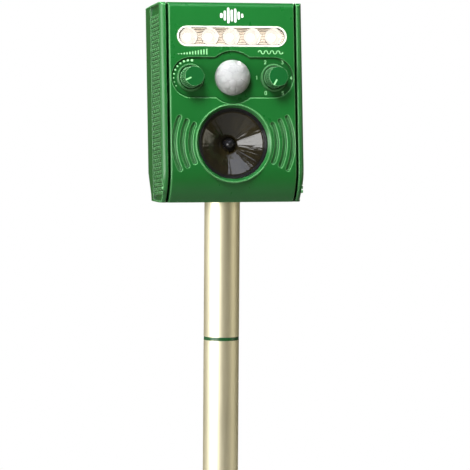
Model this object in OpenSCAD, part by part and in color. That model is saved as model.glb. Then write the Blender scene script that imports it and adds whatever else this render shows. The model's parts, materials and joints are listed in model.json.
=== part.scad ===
// Stake-mounted ultrasonic pest repeller with a lamp bar, a motion sensor, two dials and a solar top.
// Millimetres. +Z is up, -Y is the front, and the origin is on the stake's axis at ground level.

/* [Stake] */
// Outer diameter of the metal tubes
tube_d = 25; // [22:0.5:28]
// Wall thickness of the metal tubes
tube_wall = 1; // [0.8:0.1:1.5]
// Length of each metal tube
tube_len = 120; // [110:5:200]
// Length of the blades below ground
spike_len = 130; // [90:5:180]
// How far the upper tube goes into the head
socket_depth = 24; // [20:1:28]

/* [Head] */
// Width over the two side covers
head_w = 102; // [101:0.5:104]
// Height of the head along its leaning face
head_h = 136.2; // [136:0.2:138]
// Front face ahead of the stake's axis
head_front = 35; // [35:0.5:37]
// Back face behind the stake's axis
head_back = 25; // [25:0.5:28]
// Backward lean of the head in degrees
lean = 5.5; // [3:0.5:7]
// Wall thickness of the front panel
panel_wall = 2.5; // [2.2:0.1:2.8]

/* [Front features] */
// Length of the lamp bar window
lamp_len = 78.6; // [78:0.2:79]
// Height of the lamp bar window
lamp_h = 14.2; // [14:0.1:14.6]
// Spacing of the five lamps
lamp_pitch = 15.2; // [15:0.1:15.4]
// Height of the lamp bar's centre on the face
lamp_at = 112.4; // [112.2:0.1:112.8]
// Height of the dials and the sensor on the face
dial_at = 83.8; // [83.6:0.1:84]
// Distance of each dial from the centre line
dial_x = 30; // [29.8:0.1:30.2]
// Radius of the motion sensor's dome
dome_r = 12.3; // [12:0.1:12.5]
// Height of the loudspeaker's centre on the face
horn_at = 38.1; // [37.8:0.1:38.4]
// Outer radius of the loudspeaker's horn
horn_r = 24.5; // [24.4:0.1:24.8]

/* [Hidden] */
$fn = 64;

// Stake
tube_r = tube_d / 2;
tube_in_r = tube_r - tube_wall;
plug_r = tube_in_r - 0.05;
flange_t = 3;
shoulder_t = 3;
joint_ring_t = 2.4;
joint_ring_r = tube_r - 0.1;
plug_len = 20;
lower_z = flange_t + shoulder_t;
ring_z = lower_z + tube_len;
upper_z = ring_z + joint_ring_t;
head_z = upper_z + tube_len - socket_depth;

// Head's side profile: a straight leaning face that rolls under along an arc at the foot
half_w = head_w / 2;
panel_half = 45.1;
groove_w = 1.5;
flange_in = panel_half + groove_w;
flange_back = 0.6;
flange_round = 3.4;
flange_in_round = 0.9;
panel_round = 1;
box_half = 44;
box_wall = 2.2;
back_wall = 3;
base_wall = 2.5;
arc_w = 22;
foot_back = 10.5;
foot_drop = arc_w + (head_front - foot_back) * tan(lean);
arc_r = (foot_drop * foot_drop + foot_back * foot_back) / (2 * foot_back);
arc_v = arc_r - head_front;
top_round = 4;
panel_rear = -23;
box_top = head_h - 3;
rim_inset = panel_wall + 1;
rim_half = 42.7;
rim_wall = 2;
gasket_half = 43.55;
gasket_v = [-26, -24];
cover_rear = 11.2;
cover_foot = [[0, 20], [8.5, 5], [10.5, -3]];
band_v = -5.3;
band_slope = 0.6;
far = 200;

// Front features, measured forward from the stake's axis
recess_f = head_front - 1.3;
recess_in_f = recess_f - 2.2;
panel_in_f = head_front - panel_wall;
recess_r = 14.1;
recess_half = 43.7;
recess_mid_r = 18.6;
collar_r = 9.3;
collar_wall = 1;
collar_h = 1.5;
knob_base_r = 7.6;
knob_top_r = 6.9;
knob_f = recess_f + 0.5;
knob_h = 11.6;
shaft_r = 3;
bushing_r = 3.4;
pot_r = 8;
pot_f = 22.5;
pot_h = 7.5;
board_t = 1.6;
wave_radii = [31, 36.8, 42.6];
wave_half_w = 1.7;
wave_floor = 0.7;
wave_depth = 1.3;
wave_sweep = 25;
rim_r = horn_r + 2.8;
rim_proud = 0.4;
rim_bevel = 2;
lip_drop = 1.5;
seat_f = 28.6;
screw_spots = [[38, 127.2], [-38, 127.2], [38, 10], [-38, 10]];
lamp_screw_spots = [[26, 11.4], [-26, 11.4], [26, -11.4], [-26, -11.4]];
board_screw_spots = [[37.6, -14], [-37.6, -14], [37.6, 11.5], [-37.6, 11.5]];

// Battery bay and connectors on the back
bay_w = 72;
bay_size = [60, 48];
door_size = [72, 54];
door_gap = 0.3;
door_screw_x = 33.6;
cell_r = 7.1;
cell_pitch = 15.2;
cell_v = 14.3;
keyhole_w = 114;
keyhole_r = 4.25;
usb_w = 33.2;
cover_hinge = [head_back + 1.4, usb_w + 6.2];
cover_hinge_r = 1.1;
cover_pin_r = 0.6;
lug_x = 5.7;
lug_w = 2;
back_corner = 6;
peg_spots = [[-10, 30], [-10, 112]];
peg_r = 2;

green = "seagreen";
dark_green = "darkgreen";
steel = "lightgray";
black = [0.08, 0.08, 0.09];

// ---------- helpers ----------

// Places a part that is drawn in the head's own leaning frame
module on_head() {
    translate([0, 0, head_z]) rotate([-lean, 0, 0]) children();
}

// Draws along the forward direction of the face, with the 2D axes as across and up
module facing(x = 0, w = 0, f = 0) {
    translate([x, -f, w]) rotate([90, 0, 0]) children();
}

// Extrudes a side profile across the head
module across(x0, x1) {
    translate([x0, 0, 0]) rotate([90, 0, 90]) linear_extrude(x1 - x0) children();
}

module mirrored() {
    children();
    mirror([1, 0, 0]) children();
}

// Slot shape with round ends
module slot(len, h) {
    square([len - h, h], center = true);
    for (s = [-1, 1]) translate([s * (len - h) / 2, 0]) circle(h / 2);
}

module ring(r_out, r_in, h) {
    difference() {
        cylinder(r = r_out, h = h);
        translate([0, 0, -1]) cylinder(r = r_in, h = h + 2);
    }
}

// Head's side outline inset by t, with its rear edge at v_max and its base raised by t_base
module profile(t, v_max, t_base = 0) {
    difference() {
        translate([t - head_front, -30]) square([head_front - t + v_max, head_h - t + 30]);
        difference() {
            translate([-head_front - 1, -31]) square([arc_v + head_front + 1, arc_w + 31]);
            translate([arc_v, arc_w]) circle(arc_r - t, $fn = 128);
        }
        rotate(lean) translate([-far, t_base - 60]) square([2 * far, 60]);
        difference() {
            translate([-head_front - 1, head_h - top_round]) square([top_round + 1, top_round + 1]);
            translate([top_round - head_front, head_h - top_round]) circle(max(0.5, top_round - t));
            translate([top_round - head_front - 1, head_h - top_round - 1]) square([0.5, 0.5]);
        }
    }
}

// Edge points of a quarter round of radius r that ends at distance x, as [distance, drop]
function round_edge(x, r) = [for (a = [90:-15:0]) [x - r + r * cos(a), r - r * sin(a)]];

// Solid behind the front surface at f, whose edge drops back as edge says, following the arc at the foot
module front_limit(f, edge) {
    x_end = edge[len(edge) - 1][0];
    r = arc_r - head_front + f;
    translate([0, 0, arc_w]) linear_extrude(far)
        polygon(concat([[-1, far], [-1, -f]], [for (p = edge) [p[0], p[1] - f]], [[x_end, far]]));
    intersection() {
        translate([0, arc_v, arc_w]) rotate([0, 90, 0]) rotate_extrude($fn = 128)
            polygon(concat([[0, -1], [r, -1]], [for (p = edge) [r - p[1], p[0]]], [[0, x_end]]));
        translate([-2, -far, arc_w - far]) cube([far, 2 * far, far + 0.01]);
    }
}

// Cutter that follows the front surface at f, from points given as [distance across, drop]
module front_cutter(f, points) {
    r = arc_r - head_front + f;
    translate([0, 0, arc_w]) linear_extrude(far) polygon([for (p = points) [p[0], p[1] - f]]);
    intersection() {
        translate([0, arc_v, arc_w]) rotate([0, 90, 0]) rotate_extrude($fn = 128)
            polygon([for (p = points) [r - p[1], p[0]]]);
        translate([-2, -far, arc_w - far]) cube([far, 2 * far, far + 0.01]);
    }
}

// ---------- stake ----------

module spike_blade() {
    rotate([90, 0, 0]) linear_extrude(3, center = true)
        polygon([[-11, 0.5], [11, 0.5], [11, -12], [8.5, 14 - spike_len * 0.35], [1.2, -spike_len],
            [-1.2, -spike_len], [-8.5, 14 - spike_len * 0.35], [-11, -12]]);
}

module ground_spike() {
    color(dark_green) {
        spike_blade();
        rotate([0, 0, 90]) spike_blade();
        cylinder(r = 17, h = flange_t);
        cylinder(r = joint_ring_r, h = lower_z);
        difference() {
            cylinder(r = plug_r, h = lower_z + plug_len);
            translate([0, 0, lower_z]) cylinder(r = plug_r - 2.5, h = plug_len + 1);
        }
    }
}

module tube(z) {
    color(steel) translate([0, 0, z]) ring(tube_r, tube_in_r, tube_len);
}

module tube_joiner() {
    color(dark_green) difference() {
        union() {
            translate([0, 0, ring_z]) cylinder(r = joint_ring_r, h = joint_ring_t);
            translate([0, 0, ring_z - plug_len]) cylinder(r = plug_r, h = 2 * plug_len + joint_ring_t);
        }
        translate([0, 0, ring_z - plug_len - 1])
            cylinder(r = plug_r - 2.2, h = 2 * plug_len + joint_ring_t + 2);
    }
}

// ---------- housing ----------

// Outline of the shallow recess round the dials and the sensor
module control_recess() {
    translate([0, dial_at]) {
        slot(2 * recess_half, 2 * recess_r);
        circle(recess_mid_r);
    }
}

// Curved groove with sloping sides beside the loudspeaker, on the +X side, cut down from the face
module wave_groove(r) {
    intersection() {
        rotate_extrude($fn = 96) polygon([[r - wave_floor, -wave_depth], [r + wave_floor, -wave_depth],
            [r + wave_half_w, 0], [r + wave_half_w, 1], [r - wave_half_w, 1], [r - wave_half_w, 0]]);
        translate([0, 0, -5]) linear_extrude(10) polygon([[0, 0], far * [cos(wave_sweep), sin(wave_sweep)],
            far * [1.2, 0], far * [cos(wave_sweep), -sin(wave_sweep)]]);
    }
    for (s = [-1, 1]) rotate(s * wave_sweep) translate([r, 0, 0]) rotate_extrude($fn = 48)
        polygon([[0, 0.02 - wave_depth], [wave_floor - 0.02, 0.02 - wave_depth], [wave_half_w - 0.03, 0],
            [wave_half_w - 0.03, 1], [0, 1]]);
}

module panel_shell() {
    difference() {
        intersection() {
            across(-panel_half, panel_half) profile(0, panel_rear);
            mirrored() front_limit(head_front, round_edge(panel_half, panel_round));
        }
        across(-panel_half + 1.5, panel_half - 1.5) profile(panel_wall, panel_rear + 1);
    }
}

module panel_bosses() {
    for (p = screw_spots) facing(p[0], p[1], 6.1)
        cylinder(r = 3.6, h = (p[1] > arc_w ? panel_in_f + 1 : 30) - 6.1);
    for (p = lamp_screw_spots) facing(p[0], lamp_at + p[1], 25) cylinder(r = 1.9, h = panel_in_f - 24);
    for (p = board_screw_spots) facing(p[0], dial_at + p[1], pot_f)
        cylinder(r = 2.4, h = panel_in_f - pot_f + 1);
}

module panel_boss_holes() {
    for (p = screw_spots) facing(p[0], p[1], 5) cylinder(r = 1.55, h = 19);
    for (p = lamp_screw_spots) facing(p[0], lamp_at + p[1], 24) cylinder(r = 0.85, h = 6.5);
    for (p = board_screw_spots) facing(p[0], dial_at + p[1], pot_f - 1) cylinder(r = 1.05, h = 7.5);
}

module front_panel() {
    color(green) on_head() difference() {
        union() {
            panel_shell();
            panel_bosses();
            facing(0, 0, recess_in_f) linear_extrude(panel_in_f - recess_in_f + 0.5) control_recess();
            facing(0, horn_at, seat_f) cylinder(r = rim_r, h = head_front + rim_proud - seat_f, $fn = 96);
        }
        panel_boss_holes();
        facing(0, 0, recess_f) linear_extrude(10) difference() {
            control_recess();
            for (s = [-1, 1]) translate([s * dial_x, dial_at]) difference() {
                circle(collar_r);
                circle(collar_r - collar_wall);
            }
        }
        facing(0, 0, recess_f + collar_h) linear_extrude(10) control_recess();
        for (s = [-1, 1]) facing(s * dial_x, dial_at, 20) cylinder(r = bushing_r + 0.2, h = 20);
        facing(0, dial_at, 20) cylinder(r = dome_r + 0.15, h = 20);
        facing(0, lamp_at, 30) linear_extrude(10) slot(lamp_len, lamp_h);
        for (r = wave_radii) facing(0, horn_at, head_front) mirrored() wave_groove(r);
        facing(0, horn_at, 20) cylinder(r = horn_r + 0.2, h = 20);
        facing(0, horn_at, head_front - lip_drop - 0.2)
            cylinder(r1 = horn_r + 0.2, r2 = horn_r + 0.2 + rim_bevel, h = lip_drop + 0.3 + rim_proud);
    }
}

// Side cover's side outline, with a rear edge that tapers forward at the foot
module cover_profile(t) {
    intersection() {
        profile(t, cover_rear - t, t);
        polygon(concat([[-head_front - 1, -8], [-head_front - 1, head_h + 1], [cover_rear - t, head_h + 1]],
            [for (p = cover_foot) [cover_rear - t - p[0], p[1]]]));
    }
}

pad = [5.3, 2.1];
pad_pitch = [6.1, 2.85];
pad_h = 0.85;
pads_v = [-30, -6.1];
pads_w = [3.6, head_h - 5];
field_depth = 1.2;
field_front = -30.8;
field_rim = 1.3;

// Rows of raised pads in running bond on the side cover's recessed field
module grip_pads() {
    rows = floor((pads_w[1] - pads_w[0]) / pad_pitch[1]);
    for (i = [0:rows - 1]) {
        start = pads_v[0] + (i % 2) * pad_pitch[0] / 2;
        for (k = [-1:4]) {
            v0 = max(pads_v[0], start + k * pad_pitch[0]);
            v1 = min(pads_v[1], start + k * pad_pitch[0] + pad[0]);
            if (v1 - v0 > 1) translate([half_w - field_depth - 0.2, v0, pads_w[0] + i * pad_pitch[1]])
                cube([pad_h + 0.2, v1 - v0, pad[1]]);
        }
    }
}

// Side cover on the +X side
module side_cover() {
    difference() {
        intersection() {
            across(box_half + 0.1, half_w) cover_profile(0);
            front_limit(head_front - flange_back, round_edge(half_w, flange_round));
        }
        across(box_half - 1, half_w - 2.6) difference() {
            cover_profile(2);
            translate([-head_front - 1, -20]) square([4.6, far]);
        }
        translate([box_half - 1, -far, -20]) cube([flange_in - box_half + 1, far - 22.6, far]);
        across(half_w - field_depth, half_w + 5) intersection() {
            profile(field_rim, far, field_rim);
            translate([field_front, -20]) square([band_v - field_front, far]);
        }
        front_cutter(head_front - flange_back, concat(
            [[flange_in - 1, -1], [flange_in - 1, flange_in_round]],
            [for (a = [10:20:90])
                [flange_in + flange_in_round * (1 - cos(a)), flange_in_round * (1 - sin(a))]],
            [[flange_in + flange_in_round, -1]]));
        translate([0, 0, -20]) linear_extrude(far) polygon([[half_w, band_v], [half_w + 5, band_v],
            [half_w + 5, cover_rear + 1], [half_w - band_slope, cover_rear + 1]]);
    }
    grip_pads();
    for (p = peg_spots) translate([box_half - 3, p[0], p[1]]) rotate([0, 90, 0])
        cylinder(r = peg_r, h = half_w - box_half + 3 - 2);
}

module left_side_cover() {
    color(green) on_head() mirror([1, 0, 0]) side_cover();
}

module right_side_cover() {
    color(green) on_head() side_cover();
}

// Socket for the upper tube, upright although the head leans
module socket_boss(r, h, z = 0) {
    rotate([lean, 0, 0]) translate([0, 0, z]) rotate([0, 0, 90]) cylinder(r = r, h = h, $fn = 96);
}

module keyhole_2d() {
    circle(keyhole_r);
    translate([-2.2, 0]) square([4.4, 9]);
    translate([0, 9]) circle(2.2);
}

// Plan outline of the rear housing and the solar frame, with rounded rear corners
module back_plan(v0) {
    difference() {
        translate([-box_half, v0]) square([2 * box_half, head_back - v0]);
        for (s = [-1, 1]) translate([s * box_half, head_back]) difference() {
            square(2 * back_corner, center = true);
            translate([-s * back_corner, -back_corner]) circle(back_corner);
            translate([-s * back_corner, -2 * back_corner])
                square([2 * back_corner, 2 * back_corner], center = true);
            translate([-s * 2 * back_corner, 0]) square([2 * back_corner, 4 * back_corner], center = true);
        }
    }
}

// Ears that carry the port cover's pin
module cover_lugs() {
    for (s = [-1, 1]) translate([s * (lug_x + lug_w / 2), 0, 0]) across(-lug_w / 2, lug_w / 2) {
        translate(cover_hinge) circle(1.6);
        translate([head_back - 0.5, cover_hinge[1] - 1.6]) square([cover_hinge[0] - head_back + 0.5, 3.2]);
    }
}

module rear_box() {
    difference() {
        intersection() {
            across(-box_half, box_half) intersection() {
                profile(0, head_back);
                translate([panel_rear + 0.3, -30]) square([far, box_top + 30]);
            }
            translate([0, 0, -30]) linear_extrude(far) back_plan(-40);
        }
        across(-box_half + box_wall, box_half - box_wall) intersection() {
            profile(0, head_back - back_wall, base_wall);
            translate([-far, -30]) square([2 * far, box_top - box_wall + 30]);
        }
    }
    difference() {
        across(-rim_half, rim_half) intersection() {
            profile(rim_inset, panel_rear + 0.5);
            translate([-far, -30]) square([2 * far, box_top + 30]);
        }
        across(-rim_half + rim_wall, rim_half - rim_wall) difference() {
            translate([-far, -30]) square([2 * far, box_top - box_wall + 30]);
            difference() {
                translate([-far, -30]) square([2 * far, 38]);
                profile(rim_inset + 2.2, 0, base_wall);
            }
        }
    }
}

module rear_housing() {
    color(green) on_head() difference() {
        union() {
            rear_box();
            intersection() {
                socket_boss(tube_r + 3, socket_depth + 2.2);
                across(-20, 20) profile(rim_inset, head_back);
            }
            for (p = screw_spots) facing(p[0], p[1], 0.5 - head_back) cylinder(r = 4, h = head_back + 5.4);
            for (s = [-1, 1]) facing(s * door_screw_x, bay_w, back_wall - head_back - 0.5)
                cylinder(r = 2.3, h = 6.5);
            facing(0, keyhole_w + 4, back_wall - head_back - 0.5) linear_extrude(7.5)
                square([15, 25], center = true);
            for (s = [-1, 1]) translate([s * 7.4 - 0.8, 9, 26]) cube([1.6, 13.5, usb_w - 2.9 - 26]);
            cover_lugs();
        }
        across(-lug_x - lug_w - 1, lug_x + lug_w + 1) translate(cover_hinge) circle(cover_pin_r + 0.05);
        for (s = [-1, 1]) for (p = peg_spots) translate([s * box_half, p[0], p[1]]) rotate([0, 90, 0])
            cylinder(r = peg_r + 0.05, h = 8, center = true);
        socket_boss(tube_r + 0.05, socket_depth + 1.2, -1);
        for (p = screw_spots) facing(p[0], p[1], -head_back - 1) {
            cylinder(r = 3.2, h = 20);
            cylinder(r = 1.75, h = 40);
        }
        for (p = screw_spots) facing(p[0], p[1], 6) cylinder(r = 3.8, h = 40);
        facing(0, bay_w, -head_back - 1) linear_extrude(5) square(bay_size, center = true);
        facing(0, bay_w, -head_back - 1) linear_extrude(3)
            square([door_size[0] + 2 * door_gap, door_size[1] + 2 * door_gap], center = true);
        for (s = [-1, 1]) facing(s * door_screw_x, bay_w, -head_back) cylinder(r = 1.05, h = 8);
        facing(0, keyhole_w, -head_back - 1) linear_extrude(back_wall + 2) keyhole_2d();
        facing(0, keyhole_w + 4, back_wall - head_back) linear_extrude(5.5) square([12, 22], center = true);
        facing(0, usb_w, -head_back - 1) linear_extrude(5) square([9.6, 5.2], center = true);
        translate([0, 8, box_top - box_wall - 1]) cylinder(r = 3, h = 5);
    }
}

// Square cord squeezed between the front panel and the rear housing's rim
module housing_gasket() {
    color(black) on_head() difference() {
        across(-gasket_half, gasket_half) intersection() {
            profile(panel_wall + 0.05, gasket_v[1]);
            translate([gasket_v[0], -30]) square([gasket_v[1] - gasket_v[0], far]);
        }
        across(-rim_half - 0.05, rim_half + 0.05) profile(rim_inset - 0.05, gasket_v[1] + 1);
    }
}

module screw(head_r, head_h, r, len) {
    difference() {
        cylinder(r = head_r, h = head_h);
        for (a = [0, 90]) rotate(a) translate([-head_r * 0.6, -head_r * 0.14, -1])
            cube([head_r * 1.2, head_r * 0.28, 1 + head_h * 0.6]);
    }
    translate([0, 0, head_h]) cylinder(r = r, h = len);
}

module housing_screws() {
    color(steel) on_head() for (p = screw_spots) facing(p[0], p[1], -8.2) screw(2.8, 2.2, 1.5, 26);
}

// ---------- solar top ----------

solar_v = [panel_rear + 0.3, head_back];
solar_border = 3.6;

module solar_frame() {
    depth = solar_v[1] - solar_v[0];
    color(green) on_head() difference() {
        translate([0, 0, box_top]) linear_extrude(head_h - box_top) back_plan(solar_v[0]);
        translate([-box_half + solar_border, solar_v[0] + solar_border, box_top + 0.9])
            cube([2 * (box_half - solar_border), depth - 2 * solar_border, 5]);
        translate([0, 8, box_top - 1]) cylinder(r = 3, h = 5);
    }
}

module solar_panel() {
    depth = solar_v[1] - solar_v[0];
    color([0.07, 0.09, 0.2]) on_head()
        translate([-box_half + solar_border + 0.2, solar_v[0] + solar_border + 0.2, box_top + 0.9])
        cube([2 * (box_half - solar_border - 0.2), depth - 2 * solar_border - 0.4, 1.8]);
}

// ---------- printed marks ----------

digits = [
    [[-0.8, -1], [-0.8, 1], [-0.4, 1.5], [0.4, 1.5], [0.8, 1], [0.8, -1], [0.4, -1.5],
        [-0.4, -1.5], [-0.8, -1]],
    [[-0.5, 1], [0, 1.5], [0, -1.5]],
    [[-0.8, 1], [-0.4, 1.5], [0.4, 1.5], [0.8, 1], [0.8, 0.5], [-0.8, -1.5], [0.8, -1.5]],
    [[-0.8, 1.5], [0.8, 1.5], [-0.1, 0.3], [0.5, 0.3], [0.8, -0.1], [0.8, -1], [0.4, -1.5], [-0.4, -1.5],
        [-0.8, -1.1]],
    [[0.4, -1.5], [0.4, 1.5], [-0.9, -0.6], [0.9, -0.6]],
    [[0.8, 1.5], [-0.7, 1.5], [-0.8, 0.2], [0.3, 0.3], [0.8, -0.2], [0.8, -1], [0.4, -1.5], [-0.8, -1.5]]
];
mark_t = 0.25;
dot_r = 11.9;
digit_r = 12.4;
ramp_x = -28.3;
wave_x = 27.4;
legend_w = dial_at + 17.6;
emblem_w = 126.8;
emblem_bars = [3.4, 6.8, 11, 8, 9.6, 5.4, 2.8];

// Line of constant width through the points
module stroke(points, w) {
    for (i = [0:len(points) - 2]) {
        d = points[i + 1] - points[i];
        translate(points[i]) rotate(atan2(d[1], d[0])) translate([0, -w / 2]) square([norm(d), w]);
    }
    for (p = points) translate(p) circle(w / 2, $fn = 24);
}

// Upper half of a thin ring
module half_ring(r, w) {
    difference() {
        circle(r + w / 2);
        circle(r - w / 2);
        translate([-2 * r, -4 * r]) square([4 * r, 4 * r]);
    }
}

// Scale dots and numbers round the dials, with a ramp and a wave above them
module dial_marks() {
    color("palegreen") on_head() {
        facing(-dial_x, dial_at, recess_f) linear_extrude(mark_t) for (i = [0:9])
            rotate(120 - 14 * i) translate([0, dot_r]) circle(0.4 + 0.05 * i, $fn = 24);
        facing(dial_x, dial_at, recess_f) linear_extrude(mark_t) for (i = [0:5])
            rotate(150 - 60 * i) translate([0, digit_r]) rotate(60 * i - 150)
                scale(0.75) stroke(digits[i], 0.5);
        facing(ramp_x, legend_w, head_front) linear_extrude(mark_t) for (i = [0:10])
            translate([2 * i - 10.5, -1.8]) square([0.8, 0.5 + 0.34 * i]);
        facing(wave_x, legend_w, head_front) linear_extrude(mark_t) for (i = [0:7])
            translate([2.2 * (i - 3.5), 0]) rotate(180 * (i % 2)) half_ring(1.1, 0.55);
    }
}

// Plain row of sound-level bars in the place of a badge
module front_emblem() {
    color("white") on_head() facing(0, emblem_w, head_front) linear_extrude(mark_t)
        for (i = [0:len(emblem_bars) - 1]) translate([2.5 * (i - 3), 0]) rotate(90)
            slot(emblem_bars[i], 1.5);
}

// ---------- lamp bar ----------

lamp_plate_f = panel_in_f - 0.8;
lamp_board_f = 25;

lamp_rim = 1;

// White rim round the lamp window, flanged behind the panel
module lamp_bezel() {
    color("ivory") on_head() difference() {
        union() {
            facing(0, lamp_at, panel_in_f) linear_extrude(panel_wall + 0.4)
                slot(lamp_len - 0.2, lamp_h - 0.2);
            facing(0, lamp_at, lamp_plate_f) linear_extrude(panel_in_f - lamp_plate_f)
                slot(lamp_len + 3, lamp_h + 3);
        }
        facing(0, lamp_at, 20) linear_extrude(20) slot(lamp_len - 2 * lamp_rim, lamp_h - 2 * lamp_rim);
    }
}

module lamp_window() {
    color([0.95, 0.97, 1, 0.4]) on_head() facing(0, lamp_at, panel_in_f - 0.6)
        linear_extrude(panel_wall + 0.3) slot(lamp_len - 2 * lamp_rim - 0.1, lamp_h - 2 * lamp_rim - 0.1);
}

module lamp_reflector() {
    depth = lamp_plate_f - lamp_board_f;
    color("silver") on_head() facing(0, lamp_at, lamp_board_f) difference() {
        linear_extrude(depth) slot(lamp_len + 0.8, lamp_h + 1.6);
        for (i = [-2:2]) translate([i * lamp_pitch, 0, 0]) {
            translate([0, 0, -1]) cylinder(r = 2.7, h = depth);
            translate([0, 0, 1.2]) cylinder(r1 = 2.7, r2 = 5.2, h = 2.4);
            translate([0, 0, 3.599]) cylinder(r1 = 5.2, r2 = 6.2, h = depth - 3.598);
        }
    }
}

module lamp_leds() {
    color("white") on_head() for (i = [-2:2]) facing(i * lamp_pitch, lamp_at, lamp_board_f) {
        cylinder(r = 2.6, h = 1);
        cylinder(r = 2.3, h = 3);
        translate([0, 0, 3]) sphere(r = 2.3);
    }
}

module lamp_board() {
    color("darkolivegreen") on_head() facing(0, lamp_at, lamp_board_f - board_t) linear_extrude(board_t)
        difference() {
            union() {
                square([81, 18], center = true);
                square([60, 27], center = true);
            }
            for (p = lamp_screw_spots) translate(p) circle(1.1);
        }
}

module lamp_board_screws() {
    color(steel) on_head() for (p = lamp_screw_spots)
        facing(p[0], lamp_at + p[1], lamp_board_f - board_t - 1.4) screw(1.9, 1.4, 0.8, 6);
}

// ---------- motion sensor ----------

module dome_shape(r, f_back) {
    translate([0, 0, -f_back]) cylinder(r = r, h = f_back);
    intersection() {
        sphere(r = r, $fn = 96);
        translate([-far, -far, 0]) cube([2 * far, 2 * far, far]);
    }
}

module sensor_dome() {
    color("white") on_head() facing(0, dial_at, recess_f + 0.5) difference() {
        union() {
            dome_shape(dome_r, 3.2);
            translate([0, 0, -3.7]) cylinder(r = 15, h = 1);
        }
        dome_shape(dome_r - 0.9, 5);
    }
}

module sensor_retainer() {
    color(black) on_head() facing(0, dial_at, recess_in_f - 3) ring(15.5, 12.2, 2);
}

module motion_sensor() {
    color(steel) on_head() facing(0, dial_at, pot_f) {
        cylinder(r = 4.6, h = 4.2);
        cylinder(r = 5.2, h = 0.6);
    }
}

// ---------- dials and their board ----------

module control_board() {
    color("darkolivegreen") on_head() facing(0, dial_at, pot_f - board_t)
        linear_extrude(board_t) difference() {
        translate([0, -1.5]) square([81, 31], center = true);
        for (p = board_screw_spots) translate(p) circle(1.3);
    }
}

module control_board_screws() {
    color(steel) on_head() for (p = board_screw_spots)
        facing(p[0], dial_at + p[1], pot_f - board_t - 1.4) screw(2.1, 1.4, 1, 7);
}

module board_components() {
    back_f = pot_f - board_t;
    color(black) on_head() {
        facing(0, dial_at + 4, back_f - 1.6) linear_extrude(1.6) square([12, 8], center = true);
        facing(18, dial_at - 6, back_f - 1.2) linear_extrude(1.2) square([6, 5], center = true);
        facing(-16, dial_at + 6, back_f - 11) cylinder(r = 4, h = 11);
        facing(-26, dial_at + 6, back_f - 11) cylinder(r = 4, h = 11);
        facing(26, dial_at + 5, back_f - 8) linear_extrude(8) square([11, 10], center = true);
        facing(-14, dial_at - 8, back_f - 4) cylinder(r = 2.5, h = 4);
    }
}

module pot_body() {
    difference() {
        union() {
            cylinder(r = pot_r, h = pot_h);
            cylinder(r = bushing_r, h = recess_f - pot_f);
        }
        translate([0, 0, 5.4]) cylinder(r = shaft_r + 0.05, h = 20);
    }
}

module sensitivity_pot() {
    color(steel) on_head() facing(-dial_x, dial_at, pot_f) pot_body();
}

module frequency_switch() {
    color(black) on_head() facing(dial_x, dial_at, pot_f) pot_body();
}

module shaft(x) {
    color(steel) on_head() facing(x, dial_at, pot_f + 5.5)
        cylinder(r = shaft_r, h = knob_f + 6 - pot_f - 5.5);
}

// Tapered fluted knob whose pointer notch lies at the given clock angle
module knob(x, clock) {
    color(green) on_head() facing(x, dial_at, knob_f) difference() {
        cylinder(r1 = knob_base_r, r2 = knob_top_r, h = knob_h);
        for (i = [0:29]) rotate(i * 12) translate([knob_base_r + 0.15, 0, 1.2])
            rotate([0, -atan((knob_base_r - knob_top_r) / knob_h), 0]) cylinder(r = 0.55, h = knob_h);
        translate([0, 0, -1]) cylinder(r = shaft_r + 0.01, h = 7);
        translate([0, 0, -1]) ring(6.2, 4.6, 4);
        rotate(-clock) translate([-0.45, 2.6, knob_h - 0.7]) cube([0.9, knob_top_r, 2]);
    }
}

// ---------- loudspeaker ----------

horn_lip_f = head_front - lip_drop;
throat_f = 20.6;
throat_r = 4.6;
cone_r = 22.5;
driver_f = 9;
driver_r = 12;

module speaker_horn() {
    color(black) on_head() facing(0, horn_at) rotate_extrude($fn = 96) polygon([
        [throat_r, throat_f], [cone_r, horn_lip_f - 1.4], [cone_r + 0.8, horn_lip_f - 1.4],
        [cone_r + 1.2, horn_lip_f], [horn_r, horn_lip_f], [horn_r, seat_f - 0.6], [rim_r, seat_f - 0.6],
        [rim_r, seat_f - 2.1], [horn_r - 1.4, seat_f - 2.1], [horn_r - 1.4, horn_lip_f - 3.2],
        [throat_r + 2.9, throat_f]]);
}

// Ball in the throat, carried by three spokes in a ring
module speaker_plug() {
    color(black) on_head() facing(0, horn_at, throat_f) {
        translate([0, 0, 1.5]) sphere(r = 3.75);
        translate([0, 0, -1.6]) ring(throat_r - 0.05, throat_r - 0.75, 1.4);
        for (a = [30:120:270]) rotate(a) translate([0, 0, -0.9]) rotate([0, 90, 0])
            cylinder(r = 0.45, h = 4.2);
    }
}

module speaker_gasket() {
    color(black) on_head() facing(0, horn_at, seat_f - 0.6) ring(rim_r - 0.2, horn_r + 0.1, 0.6);
}

module speaker_driver() {
    color(black) on_head() facing(0, horn_at, driver_f) difference() {
        cylinder(r = driver_r, h = throat_f - driver_f);
        translate([0, 0, 3]) cylinder(r = driver_r - 1.4, h = 3.6);
        translate([0, 0, 5]) cylinder(r = throat_r, h = 20);
    }
}

module piezo_disc() {
    color("gold") on_head() facing(0, horn_at, driver_f + 4.2) cylinder(r = driver_r - 1.6, h = 0.5);
}

// ---------- power ----------

module battery_tray() {
    color(black) on_head() facing(0, bay_w, back_wall - head_back) difference() {
        linear_extrude(16) square([62, 50], center = true);
        translate([0, 0, -1]) linear_extrude(16) square([59, 47], center = true);
    }
}

module cell() {
    cylinder(r = cell_r, h = 49);
    cylinder(r = 2.7, h = 50.3);
}

module batteries() {
    color("khaki") on_head() for (i = [-1:1]) translate([0, cell_v, bay_w + i * cell_pitch])
        rotate([0, i == 0 ? -90 : 90, 0]) translate([0, 0, -24]) cell();
}

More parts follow.
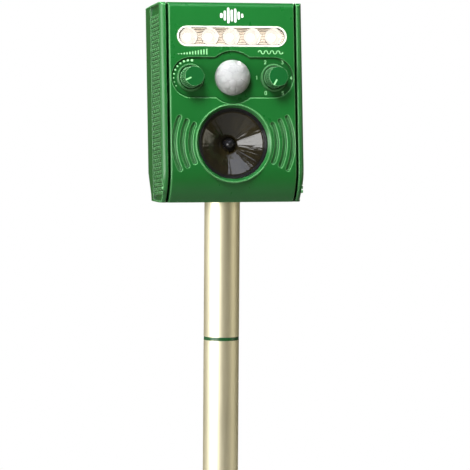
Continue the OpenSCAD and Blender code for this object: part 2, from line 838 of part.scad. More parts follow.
module battery_contacts() {
    color(steel) on_head() for (i = [-1:1]) translate([0, cell_v, bay_w + i * cell_pitch])
        rotate([0, i == 0 ? -90 : 90, 0]) {
            translate([-5.5, -5.5, 26.4]) cube([11, 11, 0.5]);
            translate([-5.5, -5.5, -29.4]) cube([11, 11, 0.5]);
            for (k = [0:3]) translate([0, 0, -28.5 + 1.25 * k]) rotate_extrude()
                translate([5 - 0.6 * k, 0]) circle(0.4);
        }
}

module battery_seal() {
    color(black) on_head() facing(0, bay_w, 1.5 - head_back) linear_extrude(0.5) difference() {
        square([bay_size[0] + 4, bay_size[1] + 4], center = true);
        square([bay_size[0] + 2, bay_size[1] + 1.4], center = true);
    }
}

module battery_door() {
    color(green) on_head() facing(0, bay_w, -head_back) difference() {
        linear_extrude(1.5) square(door_size, center = true);
        for (s = [-1, 1]) translate([s * door_screw_x, 0, -1]) {
            cylinder(r = 1.15, h = 5);
            cylinder(r = 2, h = 1.7);
        }
        for (k = [-2:2]) translate([-9, 17 + 1.8 * k - 0.45, -1]) cube([18, 0.9, 1.5]);
    }
}

module door_screws() {
    color(steel) on_head() for (s = [-1, 1])
        facing(s * door_screw_x, bay_w, 0.1 - head_back) screw(1.8, 0.6, 1, 6.5);
}

module usb_board() {
    color("darkolivegreen") on_head() translate([-9, 9, usb_w - 2.9]) cube([18, 12.8, 1.2]);
}

module usb_port() {
    color(steel) on_head() facing(0, usb_w - 0.3, 2.6 - head_back) difference() {
        linear_extrude(5.6) square([7.8, 2.8], center = true);
        translate([0, 0, -1]) linear_extrude(5.8) square([7.1, 2.1], center = true);
    }
}

// Cover of the charging port, which folds up about a pin held in the housing's ears
module usb_cover() {
    color(black) on_head() {
        facing(0, usb_w - 0.4, -head_back - 1.7) linear_extrude(1.6) square([15, 8.4], center = true);
        facing(0, usb_w + 5, -head_back - 1.7) linear_extrude(1.6) square([10.8, 2.4], center = true);
        facing(0, usb_w + 0.1, -head_back - 0.2) linear_extrude(1.4) square([8.6, 3.6], center = true);
        across(-5.4, 5.4) translate(cover_hinge) circle(cover_hinge_r);
        across(-7.5, 7.5) translate(cover_hinge) circle(cover_pin_r);
    }
}

// Round wire along straight runs with ball corners
module wire(points, r = 0.6) {
    for (i = [0:len(points) - 2]) {
        d = points[i + 1] - points[i];
        n = norm(d);
        translate(points[i]) rotate([0, acos(d[2] / n), atan2(d[1], d[0])])
            cylinder(r = r, h = n, $fn = 24);
        if (i > 0) translate(points[i]) sphere(r = 1.15 * r, $fn = 24);
    }
}

module wire_harness() {
    color("firebrick") on_head() {
        for (s = [-1, 1]) {
            wire([[s * 1.2, board_t - pot_f + 0.56, dial_at - 15], [s * 1.2, -17, dial_at - 24],
                [s * 3, -4, horn_at + 14],
                [s * 3, -4, horn_at + 4], [s * 3, -driver_f, horn_at + 4]]);
            wire([[s * 1.3, 8, box_top + 0.9], [s * 1.3, 8, box_top - 6], [s * 1.3, -6, dial_at + 26],
                [s * 1.3, -14, dial_at + 12], [s * 1.3, -20.9, dial_at + 12]]);
            wire([[s * 8, 6, bay_w], [s * 8, 2, bay_w], [s * 8, -8, dial_at - 4],
                [s * 8, -20.9, dial_at - 4]]);
            wire([[s * 6, 12, usb_w - 1.7], [s * 6, 12, usb_w + 4], [s * 6, 0, bay_w - 18],
                [s * 6, -14, dial_at - 12], [s * 6, -20.9, dial_at - 12]]);
        }
    }
}

ground_spike();
tube(lower_z);  // lower_tube
tube_joiner();
tube(upper_z);  // upper_tube
front_panel();
left_side_cover();
right_side_cover();
rear_housing();
housing_gasket();
housing_screws();
solar_frame();
solar_panel();
front_emblem();
dial_marks();
lamp_bezel();
lamp_window();
lamp_reflector();
lamp_leds();
lamp_board();
lamp_board_screws();
sensor_dome();
sensor_retainer();
motion_sensor();
control_board();
control_board_screws();
board_components();
sensitivity_pot();
frequency_switch();
shaft(-dial_x);  // sensitivity_shaft
knob(-dial_x, -113);  // sensitivity_knob
shaft(dial_x);  // frequency_shaft
knob(dial_x, -150);  // frequency_knob
speaker_horn();
speaker_plug();
speaker_gasket();
speaker_driver();
piezo_disc();
battery_tray();
batteries();
battery_contacts();
battery_seal();
battery_door();
door_screws();
usb_board();
usb_port();
usb_cover();
wire_harness();
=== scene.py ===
"""Looks, light and camera for the ultrasonic pest repeller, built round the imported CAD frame."""
import json
import math

import bmesh
import bpy
from mathutils import Matrix, Vector, noise


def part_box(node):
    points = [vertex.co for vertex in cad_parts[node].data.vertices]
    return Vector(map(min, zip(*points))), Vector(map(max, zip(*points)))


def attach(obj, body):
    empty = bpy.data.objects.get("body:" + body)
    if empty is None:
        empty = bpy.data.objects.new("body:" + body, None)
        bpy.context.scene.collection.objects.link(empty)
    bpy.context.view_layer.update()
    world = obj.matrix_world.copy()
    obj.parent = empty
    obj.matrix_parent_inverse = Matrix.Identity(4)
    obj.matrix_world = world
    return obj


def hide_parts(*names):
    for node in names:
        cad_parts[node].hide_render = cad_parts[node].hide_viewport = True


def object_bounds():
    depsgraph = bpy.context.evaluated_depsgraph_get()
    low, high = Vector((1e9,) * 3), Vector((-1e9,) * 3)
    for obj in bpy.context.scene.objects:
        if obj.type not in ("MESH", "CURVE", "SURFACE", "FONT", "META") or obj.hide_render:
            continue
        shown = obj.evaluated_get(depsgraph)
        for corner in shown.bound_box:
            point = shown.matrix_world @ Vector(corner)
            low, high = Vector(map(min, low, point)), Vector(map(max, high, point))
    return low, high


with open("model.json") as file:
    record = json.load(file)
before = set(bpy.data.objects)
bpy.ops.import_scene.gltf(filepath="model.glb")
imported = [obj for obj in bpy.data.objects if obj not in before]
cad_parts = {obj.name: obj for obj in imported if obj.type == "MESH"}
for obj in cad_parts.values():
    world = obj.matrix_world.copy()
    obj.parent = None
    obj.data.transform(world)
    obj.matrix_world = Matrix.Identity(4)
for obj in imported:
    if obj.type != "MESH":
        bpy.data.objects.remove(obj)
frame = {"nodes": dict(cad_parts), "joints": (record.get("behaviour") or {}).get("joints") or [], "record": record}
cad_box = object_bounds()
MM = 0.001

# ---------- the head's leaning frame, from the dial's joint and the CAD boxes ----------

joints = {j["name"]: j for j in frame["joints"]}
BACK = Vector(joints["sensitivity_turn"]["axis"]).normalized()
SIDE = Vector((1, 0, 0))
UP = SIDE.cross(BACK)
DIAL = Vector(joints["sensitivity_turn"]["pos_m"])


def middle(node):
    lo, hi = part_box(node)
    return (lo + hi) / 2


def head_matrix(origin):
    """Local x to the viewer's right, y up along the face and z forward out of it."""
    m = Matrix((SIDE, UP, -BACK)).transposed().to_4x4()
    m.translation = origin
    return m


# ---------- camera ----------

def add_camera():
    azimuth, elevation, roll = math.radians(-15.0), math.radians(3.75), math.radians(0.4)
    distance, lens = 1.925, 209.0
    right = Vector((math.cos(azimuth), math.sin(azimuth), 0))
    away = Vector((-math.sin(azimuth), math.cos(azimuth), 0))
    aim = Vector((0, 0, 0.2)) + right * 0.0092
    look = away * math.cos(elevation) - Vector((0, 0, 1)) * math.sin(elevation)
    cam = bpy.data.objects.new("camera", bpy.data.cameras.new("camera"))
    bpy.context.scene.collection.objects.link(cam)
    cam.data.lens = lens
    cam.data.sensor_width = 36
    cam.data.clip_start, cam.data.clip_end = 0.05, 50
    up = right.cross(look)
    m = Matrix((right, up, -look)).transposed().to_4x4() @ Matrix.Rotation(roll, 4, "Z")
    m.translation = aim - look * distance
    cam.matrix_world = m
    bpy.context.scene.camera = cam


add_camera()

# ---------- node materials ----------


class Nodes:
    """Builds one material's node tree."""

    def __init__(self, name):
        self.mat = bpy.data.materials.new(name)
        self.mat.use_nodes = True
        self.tree = self.mat.node_tree
        self.tree.nodes.clear()
        self.out = self.tree.nodes.new("ShaderNodeOutputMaterial")

    def add(self, kind, props=None, **inputs):
        node = self.tree.nodes.new(kind)
        for key, value in (props or {}).items():
            setattr(node, key, value)
        for key, value in inputs.items():
            self.put(node, key.replace("_", " "), value)
        return node

    def put(self, node, key, value):
        socket = node.inputs[int(key)] if key.isdigit() else node.inputs[key]
        if isinstance(value, bpy.types.NodeSocket):
            self.tree.links.new(value, socket)
        else:
            socket.default_value = value

    def coords(self, scale=(1, 1, 1)):
        tc = self.add("ShaderNodeTexCoord")
        m = self.add("ShaderNodeMapping", Vector=tc.outputs["Object"])
        m.inputs["Scale"].default_value = scale
        return m.outputs[0]

    def noise(self, scale, detail=2.0, rough=0.5, at=None, warp=0.0):
        n = self.add("ShaderNodeTexNoise", Vector=at or self.coords(), Scale=scale, Detail=detail)
        n.inputs["Roughness"].default_value = rough
        n.inputs["Distortion"].default_value = warp
        return n.outputs[0]

    def remap(self, value, a, b, c, d):
        n = self.add("ShaderNodeMapRange")
        for k, v in zip((0, 1, 2, 3, 4), (value, a, b, c, d)):
            self.put(n, str(k), v)
        return n.outputs[0]

    def blend(self, factor, a, b):
        n = self.add("ShaderNodeMix", {"data_type": "RGBA"})
        self.put(n, "0", factor)
        self.put(n, "6", a)
        self.put(n, "7", b)
        return n.outputs[2]

    def math(self, op, a, b=0.0):
        n = self.add("ShaderNodeMath", {"operation": op})
        self.put(n, "0", a)
        self.put(n, "1", b)
        return n.outputs[0]

    def bump(self, height, strength, distance, normal=None):
        n = self.add("ShaderNodeBump", Strength=strength, Distance=distance, Height=height)
        if normal is not None:
            self.put(n, "Normal", normal)
        return n.outputs[0]

    def edge(self, radius):
        """(rounded normal, mask that is 1 on sharp edges)."""
        bevel = self.add("ShaderNodeBevel", {"samples": 4}, Radius=radius)
        geo = self.add("ShaderNodeNewGeometry")
        dot = self.add("ShaderNodeVectorMath", {"operation": "DOT_PRODUCT"})
        self.put(dot, "0", bevel.outputs[0])
        self.put(dot, "1", geo.outputs["Normal"])
        return bevel.outputs[0], self.remap(dot.outputs["Value"], 0.997, 0.88, 0.0, 1.0)

    def surface(self, **inputs):
        s = self.add("ShaderNodeBsdfPrincipled")
        for key, value in inputs.items():
            self.put(s, key.replace("_", " "), value)
        self.tree.links.new(s.outputs[0], self.out.inputs[0])
        return s


def shade(color, k):
    return tuple(min(1.0, c * k) for c in color[:3]) + (1.0,)


def plastic(name, color, rough=0.38, grain=1400, depth=0.00003, mottle=0.1, edge=0.0004, highlight_amount=0.25,
            spec=0.5, painted_corner_shade=0.0, highlight_lift=0.05):
    """Moulded plastic: mottling, a fine spark texture, painted highlights in a lighter tint along sharp edges and,
    given a corner-shade amount, painted shade that darkens corners and recesses.
    """
    g = Nodes(name)
    at = g.coords()
    cloud = g.remap(g.noise(26, 3, 0.5, at), 0.2, 0.8, 0, 1)
    tint = g.blend(cloud, shade(color, 1 - mottle), shade(color, 1 + mottle))
    normal, rim = g.edge(edge)
    # Painted highlight: a lighter, greener copy of the colour laid along sharp edges, standing in for edges
    # catching the light.
    painted_highlight_tint = tuple(min(1.0, 3.2 * c + highlight_lift * k) for c, k in zip(color, (0.8, 1.15, 0.75))) + (1.0,)
    tint = g.blend(g.math("MULTIPLY", rim, highlight_amount), tint, painted_highlight_tint)
    # Painted shade: ambient occlusion blends the colour towards a much darker copy in corners, recesses and
    # between close parts.
    if painted_corner_shade:
        open_sky = g.add("ShaderNodeAmbientOcclusion", Distance=0.016).outputs["AO"]
        tint = g.blend(g.remap(open_sky, 0.45, 0.95, painted_corner_shade, 0), tint, shade(color, 0.2))
    gloss = g.remap(g.noise(90, 4, 0.6, at), 0.3, 0.7, rough - 0.05, rough + 0.06)
    bump = g.bump(g.noise(grain, 2, 0.5, at), 0.5, depth, normal)
    g.surface(Base_Color=tint, Roughness=gloss, Normal=bump, Specular_IOR_Level=spec)
    return g.mat


def metal(name, color, rough=0.3, stretch=(1, 1, 0.02), lines=1500, depth=0.00001, edge=0.0002):
    """Bare or anodised metal with fine drawn lines."""
    g = Nodes(name)
    at = g.coords(stretch)
    streak = g.noise(lines, 3, 0.6, at)
    cloud = g.noise(20, 3, 0.5)
    tint = g.blend(g.remap(cloud, 0.3, 0.7, 0, 1), shade(color, 0.95), shade(color, 1.04))
    gloss = g.remap(streak, 0.3, 0.7, rough - 0.05, rough + 0.05)
    gloss = g.math("ADD", gloss, g.remap(cloud, 0, 1, -0.02, 0.02))
    normal, _ = g.edge(edge)
    g.surface(Base_Color=tint, Roughness=gloss, Metallic=1.0, Normal=g.bump(streak, 0.3, depth, normal))
    return g.mat


def glowing(name, color, strength):
    g = Nodes(name)
    core = g.remap(g.noise(400, 2), 0.3, 0.7, 0.9, 1.1)
    tint = g.blend(core, shade(color, 0.96), shade(color, 1.0))
    g.surface(Base_Color=tint, Roughness=0.2, Emission_Color=shade(color, 1), Emission_Strength=strength)
    return g.mat


def clear(name, rough=0.03):
    """Clear moulded window that lets light straight through for shadows."""
    g = Nodes(name)
    gloss = g.remap(g.noise(120, 3), 0.3, 0.7, rough, rough + 0.03)
    s = g.surface(Base_Color=(0.98, 0.99, 1, 1), Roughness=gloss, IOR=1.49)
    s.inputs["Transmission Weight"].default_value = 1
    path = g.add("ShaderNodeLightPath")
    pass_through = g.add("ShaderNodeBsdfTransparent")
    mix = g.add("ShaderNodeMixShader")
    g.put(mix, "0", path.outputs["Is Shadow Ray"])
    g.put(mix, "1", s.outputs[0])
    g.put(mix, "2", pass_through.outputs[0])
    g.tree.links.new(mix.outputs[0], g.out.inputs[0])
    return g.mat


def milky(name):
    """Translucent white polyethylene of the sensor lens."""
    g = Nodes(name)
    cloud = g.remap(g.noise(160, 3, 0.6), 0.35, 0.65, 0, 1)
    tint = g.blend(cloud, (0.55, 0.565, 0.57, 1), (0.64, 0.65, 0.65, 1))
    normal = g.bump(g.noise(1800, 2), 0.3, 0.00002)
    s = g.surface(Base_Color=tint, Roughness=0.34, Normal=normal)
    s.inputs["Subsurface Weight"].default_value = 1.0
    s.inputs["Subsurface Radius"].default_value = (1, 1, 1)
    s.inputs["Subsurface Scale"].default_value = 0.014
    return g.mat


def crinkled_black(name):
    """Glossy black cone skin with radial creases."""
    g = Nodes(name)
    at = g.coords()
    crease = g.noise(700, 5, 0.65, at, 0.6)
    cloud = g.remap(g.noise(140, 4, 0.7, at), 0.35, 0.65, 0, 1)
    tint = g.blend(cloud, (0.005, 0.004, 0.002, 1), (0.014, 0.011, 0.004, 1))
    gloss = g.remap(g.noise(350, 4, 0.7, at), 0.3, 0.7, 0.06, 0.18)
    bump = g.bump(crease, 0.3, 0.00010)
    g.surface(Base_Color=tint, Roughness=gloss, Normal=bump, Specular_IOR_Level=0.6)
    return g.mat


def board(name):
    """Solder mask with faint copper tracks."""
    g = Nodes(name)
    tracks = g.add("ShaderNodeTexBrick", Vector=g.coords(), Scale=300.0)
    tracks.inputs["Color1"].default_value = (0.01, 0.09, 0.03, 1)
    tracks.inputs["Color2"].default_value = (0.012, 0.11, 0.035, 1)
    tracks.inputs["Mortar"].default_value = (0.03, 0.2, 0.07, 1)
    gloss = g.remap(g.noise(300, 2), 0.3, 0.7, 0.3, 0.42)
    g.surface(Base_Color=tracks.outputs[0], Roughness=gloss, Normal=g.bump(tracks.outputs[1], 0.2, 0.00003))
    return g.mat


def wafer(name, pitch=1.1 * MM, share=0.14):
    """Dark blue solar cell with silver fingers, which take up their share of each pitch."""
    g = Nodes(name)
    x = g.add("ShaderNodeSeparateXYZ", Vector=g.coords()).outputs[0]
    wave = g.math("FRACT", g.math("MULTIPLY", x, 1 / pitch))
    finger = g.math("LESS_THAN", wave, share)
    crystal = g.add("ShaderNodeTexVoronoi", Vector=g.coords(), Scale=240.0).outputs["Distance"]
    blue = g.blend(g.remap(crystal, 0, 0.6, 0, 1), (0.006, 0.010, 0.045, 1), (0.012, 0.022, 0.085, 1))
    tint = g.blend(finger, blue, (0.35, 0.37, 0.42, 1))
    gloss = g.remap(crystal, 0, 0.6, 0.14, 0.24)
    g.surface(Base_Color=tint, Roughness=gloss, Coat_Weight=0.6, Coat_Roughness=0.08)
    return g.mat


FRONT_GREEN = (0.0058, 0.090, 0.0145)
REAR_GREEN = (0.009, 0.115, 0.022)
KNOB_GREEN = (0.0045, 0.070, 0.0145)
# Light green of the raised dial marks: a painted highlight, the lighter look of moulded marks catching the light
# laid into their colour.
MARK_HIGHLIGHT_GREEN = (0.24, 0.56, 0.25)
mats = {
    # Front housing: strong painted highlights along its edges and painted shade in its corners and recesses.
    "housing_green": plastic("housing_green", FRONT_GREEN, 0.31, edge=0.0010, highlight_amount=1.0, painted_corner_shade=0.8, highlight_lift=0.2),
    # Rear housing: a milder painted highlight along its edges.
    "housing_rear_green": plastic("housing_rear_green", REAR_GREEN, 0.42, 1100, 0.00004,
                                  edge=0.0006, highlight_amount=0.5, spec=0.3),
    # Knobs: strong painted highlights on the crests of their ribs.
    "knob_green": plastic("knob_green", KNOB_GREEN, 0.2, 1800, 0.00001, 0.06, 0.0003, 1.0, highlight_lift=0.35),
    "spike_plastic": plastic("spike_plastic", (0.010, 0.055, 0.018), 0.5, 900, 0.00006, 0.15),
    "joiner_plastic": plastic("joiner_plastic", (0.008, 0.075, 0.02), 0.3),
    "print_light_green": plastic("print_light_green", MARK_HIGHLIGHT_GREEN, 0.5, 2200, 0.00001, 0.12, 0.0001, 0.1),
    "print_white": plastic("print_white", (0.86, 0.90, 0.85), 0.45, 2200, 0.00001, 0.05, 0.0001, 0.0),
    "bezel_white": plastic("bezel_white", (0.84, 0.82, 0.72), 0.3, 1500, 0.00001, 0.05, 0.0003, 0.0),
    "black_plastic": plastic("black_plastic", (0.008, 0.008, 0.009), 0.16, 1500, 0.00001, 0.2, 0.0003, 0.05),
    "driver_black": plastic("driver_black", (0.014, 0.014, 0.015), 0.45, 1000, 0.00004, 0.15),
    "rubber_black": plastic("rubber_black", (0.012, 0.012, 0.013), 0.65, 700, 0.00005, 0.15),
    "component_black": plastic("component_black", (0.02, 0.02, 0.022), 0.5),
    "cell_wrap": plastic("cell_wrap", (0.05, 0.28, 0.08), 0.25, 2000, 0.00001),
    "wire_red": plastic("wire_red", (0.42, 0.015, 0.012), 0.4),
    "tube_metal": metal("tube_metal", (0.90, 0.84, 0.62), 0.5),
    "steel": metal("steel", (0.62, 0.62, 0.61), 0.25, (1, 1, 1), 900),
    "shaft_steel": metal("shaft_steel", (0.66, 0.66, 0.66), 0.22, (1, 0.05, 1), 1200),
    "piezo_brass": metal("piezo_brass", (0.78, 0.58, 0.25), 0.25, (1, 1, 1), 800),
    "reflector_chrome": metal("reflector_chrome", (0.47, 0.44, 0.40), 0.24, (1, 1, 1), 500, 0.000004),
    "led_white": glowing("led_white", (1.0, 0.98, 0.95), 2.0),
    "clear_lens": clear("clear_lens"),
    "sensor_white": milky("sensor_white"),
    "solar_cell": plastic("solar_cell", (0.006, 0.007, 0.014), 0.12, 2500, 0.000005, 0.2, 0.0002, 0.0),
    "board_green": board("board_green"),
}
cone_black = crinkled_black("cone_skin")
wafer_blue = wafer("wafer")
rib_cream = plastic("rib_metal", (0.80, 0.66, 0.52), 0.35, 1500, 0.00001, 0.05, 0.0001, 0.3)

for entry in frame["record"]["subparts"]:
    node = frame["nodes"][entry["node"]]
    node.data.materials.clear()
    node.data.materials.append(mats[entry["material_slot"]])

# ---------- pieces built here ----------


def piece(name, verts, faces, material, slot_name, body="head", matrix=None, smooth=True):
    mesh = bpy.data.meshes.new(name)
    mesh.from_pydata([tuple(v) for v in verts], [], faces)
    bm = bmesh.new()
    bm.from_mesh(mesh)
    bmesh.ops.remove_doubles(bm, verts=bm.verts, dist=1e-7)
    bmesh.ops.recalc_face_normals(bm, faces=bm.faces)
    bm.to_mesh(mesh)
    bm.free()
    if matrix is not None:
        mesh.transform(matrix)
    for p in mesh.polygons:
        p.use_smooth = smooth
    mesh.materials.append(material)
    obj = bpy.data.objects.new(name, mesh)
    bpy.context.scene.collection.objects.link(obj)
    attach(obj, body)
    return obj


def revolve(profile, steps, bend):
    """Turns closed (radius, height) rings about z. bend(point, ring, angle) may move a point."""
    verts, faces, n = [], [], len(profile)
    for j in range(steps):
        a = 2 * math.pi * j / steps
        for i, (r, z) in enumerate(profile):
            verts.append(bend(Vector((r * math.cos(a), r * math.sin(a), z)), i, a))
    for j in range(steps):
        k = (j + 1) % steps
        for i in range(n):
            m = (i + 1) % n
            faces.append((j * n + i, k * n + i, k * n + m, j * n + m))
    return verts, faces


# Sensor lens: the CAD dome's outline with a honeycomb of small lenses pressed into it

def angle_between(a, b):
    return math.acos(max(-1, min(1, a.dot(b))))


def honeycomb():
    """Directions of the small lenses: one on the axis and three rings of them round it."""
    cells = [Vector((0, 0, 1))]
    for tilt, count, turn in ((27, 6, 0), (51, 12, 15), (75, 17, 0)):
        for k in range(count):
            a, t = math.radians(turn + 360 * k / count), math.radians(tilt)
            cells.append(Vector((math.sin(t) * math.cos(a), math.sin(t) * math.sin(a), math.cos(t))))
    return cells


def sensor_lens():
    lo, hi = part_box("sensor_dome")
    flange_r = (hi.x - lo.x) / 2
    radius, wall, standoff = 12.3 * MM, 0.9 * MM, 0.2 * MM
    inner_r = radius - wall
    flange_top, flange_foot = -2.7 * MM, -3.7 * MM
    groove_depth, crown_drop = 0.24 * MM, 0.10 * MM
    rings, inner_rings, steps = 60, 12, 180
    axis = Vector((0, 0, 1))
    cells = honeycomb()

    def pressed(p, ring, angle):
        if ring >= rings:
            return p
        d = p.normalized()
        near = sorted(angle_between(d, c) for c in cells)[:2]
        groove = max(0.0, 1 - (near[1] - near[0]) / 0.09) ** 2
        fade = min(1.0, (math.pi / 2 - angle_between(d, axis)) / 0.1)
        crown = crown_drop * min(1.0, near[0] / 0.22) ** 2
        return d * (radius - fade * (groove_depth * groove + crown))

    def arc(r, turns):
        return [(r * math.sin(t), r * math.cos(t)) for t in (math.pi / 2 * turn for turn in turns)]

    profile = arc(radius, [(i + 0.02) / rings for i in range(rings)])
    profile += [(radius, 0), (radius, flange_top), (flange_r, flange_top)]
    profile += [(flange_r, flange_foot), (inner_r, flange_foot)]
    profile += arc(inner_r, [1 - i / inner_rings for i in range(inner_rings)]) + [(0.02 * inner_r, inner_r)]
    verts, faces = revolve(profile, steps, pressed)
    n = len(profile)
    faces = [f for f in faces if {f[0] % n, f[3] % n} != {0, n - 1}]
    top, bottom = len(verts), len(verts) + 1
    verts += [Vector((0, 0, radius)), Vector((0, 0, inner_r))]
    for j in range(steps):
        k = (j + 1) % steps
        faces.append((j * n, k * n, top))
        faces.append((k * n + n - 1, j * n + n - 1, bottom))
    centre = Vector((0, DIAL.y, DIAL.z)) - BACK * standoff
    obj = piece("sensor_lens", verts, faces, mats["sensor_white"], "sensor_white", matrix=head_matrix(centre))
    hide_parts("sensor_dome")


# Loudspeaker cone skin: a thin creased sheet lying on the horn's inner wall

def cone_skin_piece():
    r0, r1, z0, z1 = 4.75 * MM, 22.3 * MM, 7.25 * MM, 18.52 * MM
    slope = Vector((z0 - z1, r1 - r0)).normalized()
    rings, steps = 22, 288
    rim_lift, thickness = 0.2 * MM, 0.05 * MM
    line = [(r0 + (r1 - r0) * i / rings, z0 + (z1 - z0) * i / rings) for i in range(rings + 1)]

    def lift(r, angle):
        u = (r - r0) / (r1 - r0)
        d = Vector((math.cos(angle), math.sin(angle), 0.0))
        fold = noise.noise(d * 9.0 + Vector((0, 0, 3.1)))
        fold += 0.6 * noise.noise(d * 23.0 + Vector((0, 0, u * 1.5)))
        ripple = noise.noise(Vector((d.x * r, d.y * r, 0)) * 420.0)
        return (0.32 + 0.13 * fold * min(1.0, u * 3) + 0.05 * ripple) * MM

    def bent(p, ring, angle):
        if ring > rings:
            return p
        h = rim_lift if ring in (0, rings) else lift(math.hypot(p.x, p.y), angle)
        return Vector((p.x + slope.x * h * math.cos(angle), p.y + slope.x * h * math.sin(angle),
                       p.z + slope.y * h))

    under = [(r, z + thickness) for r, z in reversed(line)]
    verts, faces = revolve(line + under, steps, bent)
    place = head_matrix(middle("piezo_disc"))
    piece("cone_skin", verts, faces, cone_black, "black_plastic", matrix=place)


# Solar top: wafers and busbars on the laminate

def solar_cells():
    lo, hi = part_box("solar_panel")
    width, depth, half_thick = hi.x - lo.x, 40.1 * MM, 0.9 * MM
    place = Matrix((SIDE, BACK, UP)).transposed().to_4x4()
    place.translation = middle("solar_panel") + UP * half_thick
    cols, rows, margin, gap, cut = 6, 2, 3 * MM, 0.9 * MM, 1.2 * MM
    cell_w = (width - margin - gap * (cols - 1)) / cols
    cell_h = (depth - margin - gap * (rows - 1)) / rows
    bar_end, bar_half = width / 2 - 2.2 * MM, 0.35 * MM
    wafer_z, bar_z = (-0.02 * MM, 0.08 * MM), (0.06 * MM, 0.14 * MM)
    wafers, bars = ([], []), ([], [])

    def start(index, count, size):
        """Lower edge of one cell in a centred row of them."""
        return -((count * size + (count - 1) * gap) / 2) + index * (size + gap)

    def prism(mesh, outline, heights):
        verts, faces = mesh
        base, n = len(verts), len(outline)
        verts += [(x, y, z) for z in heights for x, y in outline]
        faces.append(tuple(base + i for i in reversed(range(n))))
        faces.append(tuple(base + n + i for i in range(n)))
        faces.extend((base + i, base + (i + 1) % n, base + n + (i + 1) % n, base + n + i) for i in range(n))

    for i in range(cols):
        for j in range(rows):
            x0, y0 = start(i, cols, cell_w), start(j, rows, cell_h)
            x1, y1 = x0 + cell_w, y0 + cell_h
            prism(wafers, [(x0 + cut, y0), (x1 - cut, y0), (x1, y0 + cut), (x1, y1 - cut), (x1 - cut, y1),
                           (x0 + cut, y1), (x0, y1 - cut), (x0, y0 + cut)], wafer_z)
    for j in range(rows):
        for share in (0.3, 0.7):
            y = start(j, rows, cell_h) + cell_h * share
            prism(bars, [(-bar_end, y - bar_half), (bar_end, y - bar_half),
                         (bar_end, y + bar_half), (-bar_end, y + bar_half)], bar_z)
    piece("solar_wafers", *wafers, wafer_blue, "solar_cell", matrix=place, smooth=False)
    piece("solar_busbars", *bars, mats["steel"], "steel", matrix=place, smooth=False)


# Lamp bar: fine horizontal ribs on the reflector plate between the five cups

def reflector_ribs():
    lo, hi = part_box("lamp_window")
    centre = middle("lamp_leds")
    half_len, half_h = (hi.x - lo.x) / 2 - 0.4 * MM, 5.6 * MM
    first_led, last_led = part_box("lamp_leds")
    led_width, cup_r, shortest = 5.2 * MM, 6.45 * MM, 0.3 * MM
    pitch = (last_led.x - first_led.x - led_width) / 4
    front = max(-BACK.dot(v.co - centre) for v in frame["nodes"]["lamp_reflector"].data.vertices)
    sunk = front - 0.03 * MM
    rows, sides = 11, 6
    rib = [(0.36 * MM * math.cos(a), 0.34 * MM * math.sin(a))
           for a in (math.pi * i / sides for i in range(sides + 1))]
    n = len(rib)
    verts, faces = [], []
    for k in range(rows):
        y = half_h * (2 * k / (rows - 1) - 1)
        reach = half_len - half_h + math.sqrt(max(0.0, half_h ** 2 - y ** 2))
        cut = math.sqrt(max(0.0, cup_r ** 2 - y ** 2))
        stops = [-reach] + [c * pitch + s * cut for c in range(-2, 3) for s in (-1, 1)] + [reach]
        for x0, x1 in zip(stops[::2], stops[1::2]):
            if x1 - x0 < shortest:
                continue
            base = len(verts)
            for x in (x0, x1):
                verts += [(x, y + dy, sunk + dz) for dy, dz in rib]
            faces += [(base + i, base + i + 1, base + n + 1 + i, base + n + i) for i in range(sides)]
            faces.append((base, base + n, base + 2 * n - 1, base + n - 1))
            faces += [tuple(range(end, end + n)) for end in (base, base + n)]
    place = head_matrix(centre)
    piece("reflector_ribs", verts, faces, rib_cream, "reflector_chrome", matrix=place, smooth=False)


# Knobs: a painted line that fills each pointer notch

def pointer(name, joint, knob, clock):
    """Line in the knob's notch, clock degrees clockwise from the top of the dial."""
    place = head_matrix(Vector(joints[joint]["pos_m"]))
    local = place.inverted()
    height = max((local @ v.co).z for v in frame["nodes"][knob].data.vertices)
    place = place @ Matrix.Rotation(math.radians(-clock), 4, "Z")
    half, near, far = 0.43 * MM, 2.65 * MM, 6.75 * MM
    foot, top = height - 0.66 * MM, height - 0.05 * MM
    corners = ((-half, near), (half, near), (half, far), (-half, far))
    verts = [(x, y, z) for x, y in corners for z in (foot, top)]
    faces = [(0, 2, 4, 6), (7, 5, 3, 1), (0, 1, 3, 2), (2, 3, 5, 4), (4, 5, 7, 6), (6, 7, 1, 0)]
    paint = "print_light_green"
    piece(name, verts, faces, mats[paint], paint, body=joints[joint]["child"], matrix=place, smooth=False)


SENSITIVITY_CLOCK, FREQUENCY_CLOCK = -113, -150
pointer("sensitivity_pointer", "sensitivity_turn", "sensitivity_knob", SENSITIVITY_CLOCK)
pointer("frequency_pointer", "frequency_turn", "frequency_knob", FREQUENCY_CLOCK)
reflector_ribs()
sensor_lens()
cone_skin_piece()
solar_cells()

# ---------- floor, world and light ----------


def add_floor():
    mesh = bpy.data.meshes.new("floor")
    bm = bmesh.new()
    bmesh.ops.create_circle(bm, cap_ends=True, cap_tris=False, segments=128, radius=0.95)
    bm.to_mesh(mesh)
    bm.free()
    floor = bpy.data.objects.new("floor", mesh)
    floor.location = (0, 0, cad_box[0][2])
    bpy.context.scene.collection.objects.link(floor)
    g = Nodes("floor")
    at = g.add("ShaderNodeTexCoord").outputs["Object"]
    far = g.add("ShaderNodeVectorMath", {"operation": "LENGTH"})
    g.put(far, "0", at)
    cloud = g.remap(g.noise(3, 3), 0.3, 0.7, 0, 1)
    tint = g.blend(cloud, (0.74, 0.72, 0.67, 1), (0.78, 0.76, 0.71, 1))
    s = g.surface(Base_Color=tint, Roughness=0.9)
    gone = g.add("ShaderNodeBsdfTransparent")
    mix = g.add("ShaderNodeMixShader")
    g.put(mix, "0", g.remap(far.outputs["Value"], 0.45, 0.93, 0, 1))
    g.put(mix, "1", s.outputs[0])
    g.put(mix, "2", gone.outputs[0])
    g.tree.links.new(mix.outputs[0], g.out.inputs[0])
    mesh.materials.append(g.mat)


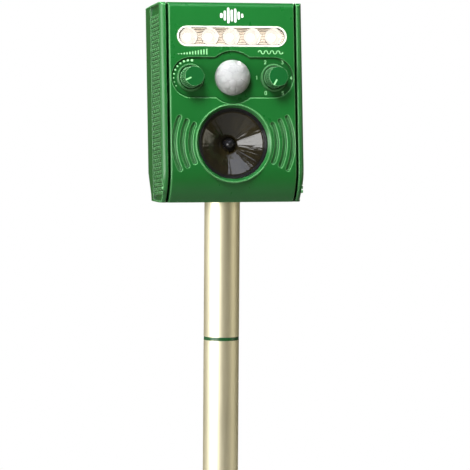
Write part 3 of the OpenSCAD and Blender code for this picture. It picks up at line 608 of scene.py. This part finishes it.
def add_world():
    world = bpy.data.worlds.new("world")
    bpy.context.scene.world = world
    world.use_nodes = True
    tree = world.node_tree
    tree.nodes.clear()
    seen, room, mix, path, coord, axes, ramp, tone, out = (tree.nodes.new("ShaderNode" + kind) for kind in (
        "Background", "Background", "MixShader", "LightPath",
        "TexCoord", "SeparateXYZ", "MapRange", "Mix", "OutputWorld"))
    seen.inputs[0].default_value = (1, 1, 1, 1)
    seen.inputs[1].default_value = 1.0
    ramp.inputs[1].default_value = -0.4
    ramp.inputs[2].default_value = 0.4
    tone.data_type = "RGBA"
    tone.inputs[6].default_value = (0.17, 0.145, 0.07, 1)
    tone.inputs[7].default_value = (0.08, 0.08, 0.075, 1)
    tree.links.new(coord.outputs["Generated"], axes.inputs[0])
    tree.links.new(axes.outputs[2], ramp.inputs[0])
    tree.links.new(ramp.outputs[0], tone.inputs[0])
    tree.links.new(tone.outputs[2], room.inputs[0])
    tree.links.new(path.outputs["Is Camera Ray"], mix.inputs[0])
    tree.links.new(room.outputs[0], mix.inputs[1])
    tree.links.new(seen.outputs[0], mix.inputs[2])
    tree.links.new(mix.outputs[0], out.inputs[0])


HEAD = (0, 0, 0.29)


def softbox(name, azimuth, elevation, distance, size, radiance, tint=(1, 1, 1), aim=HEAD, spread=180):
    """Area light seen from aim at azimuth (0 is the front, positive is +X) and elevation, in degrees."""
    a, e = math.radians(azimuth), math.radians(elevation)
    away = Vector((math.sin(a) * math.cos(e), -math.cos(a) * math.cos(e), math.sin(e)))
    data = bpy.data.lights.new(name, "AREA")
    data.shape = "RECTANGLE"
    data.size, data.size_y = size
    data.energy = radiance * size[0] * size[1] * math.pi
    data.color = tint
    data.spread = math.radians(spread)
    obj = bpy.data.objects.new(name, data)
    obj.location = Vector(aim) + away * distance
    obj.rotation_euler = (-away).to_track_quat("-Z", "Y").to_euler()
    bpy.context.scene.collection.objects.link(obj)
    return obj


add_floor()
add_world()
key = softbox("key", -32, 42, 0.5, (0.2, 0.2), 7.0, aim=(0, -0.03, 0.42), spread=50)
key.visible_glossy = False
softbox("left_wall", -61, -1, 1.2, (1.2, 0.62), 8.0)
softbox("far_left", -122, 2, 1.2, (0.9, 0.9), 0.45)
softbox("top", -17, 68, 0.75, (0.75, 0.34), 2.8, tint=(0.80, 0.85, 1.0))
softbox("right_fill", 66, -4, 1.6, (0.7, 0.6), 1.9, tint=(1.0, 0.95, 0.80))
softbox("back_top", 160, 50, 1.6, (0.9, 0.9), 3.5).visible_glossy = False

scene = bpy.context.scene
scene.view_settings.view_transform = "Standard"
scene.view_settings.look = "None"
scene.view_settings.exposure = 0
scene.view_settings.gamma = 1
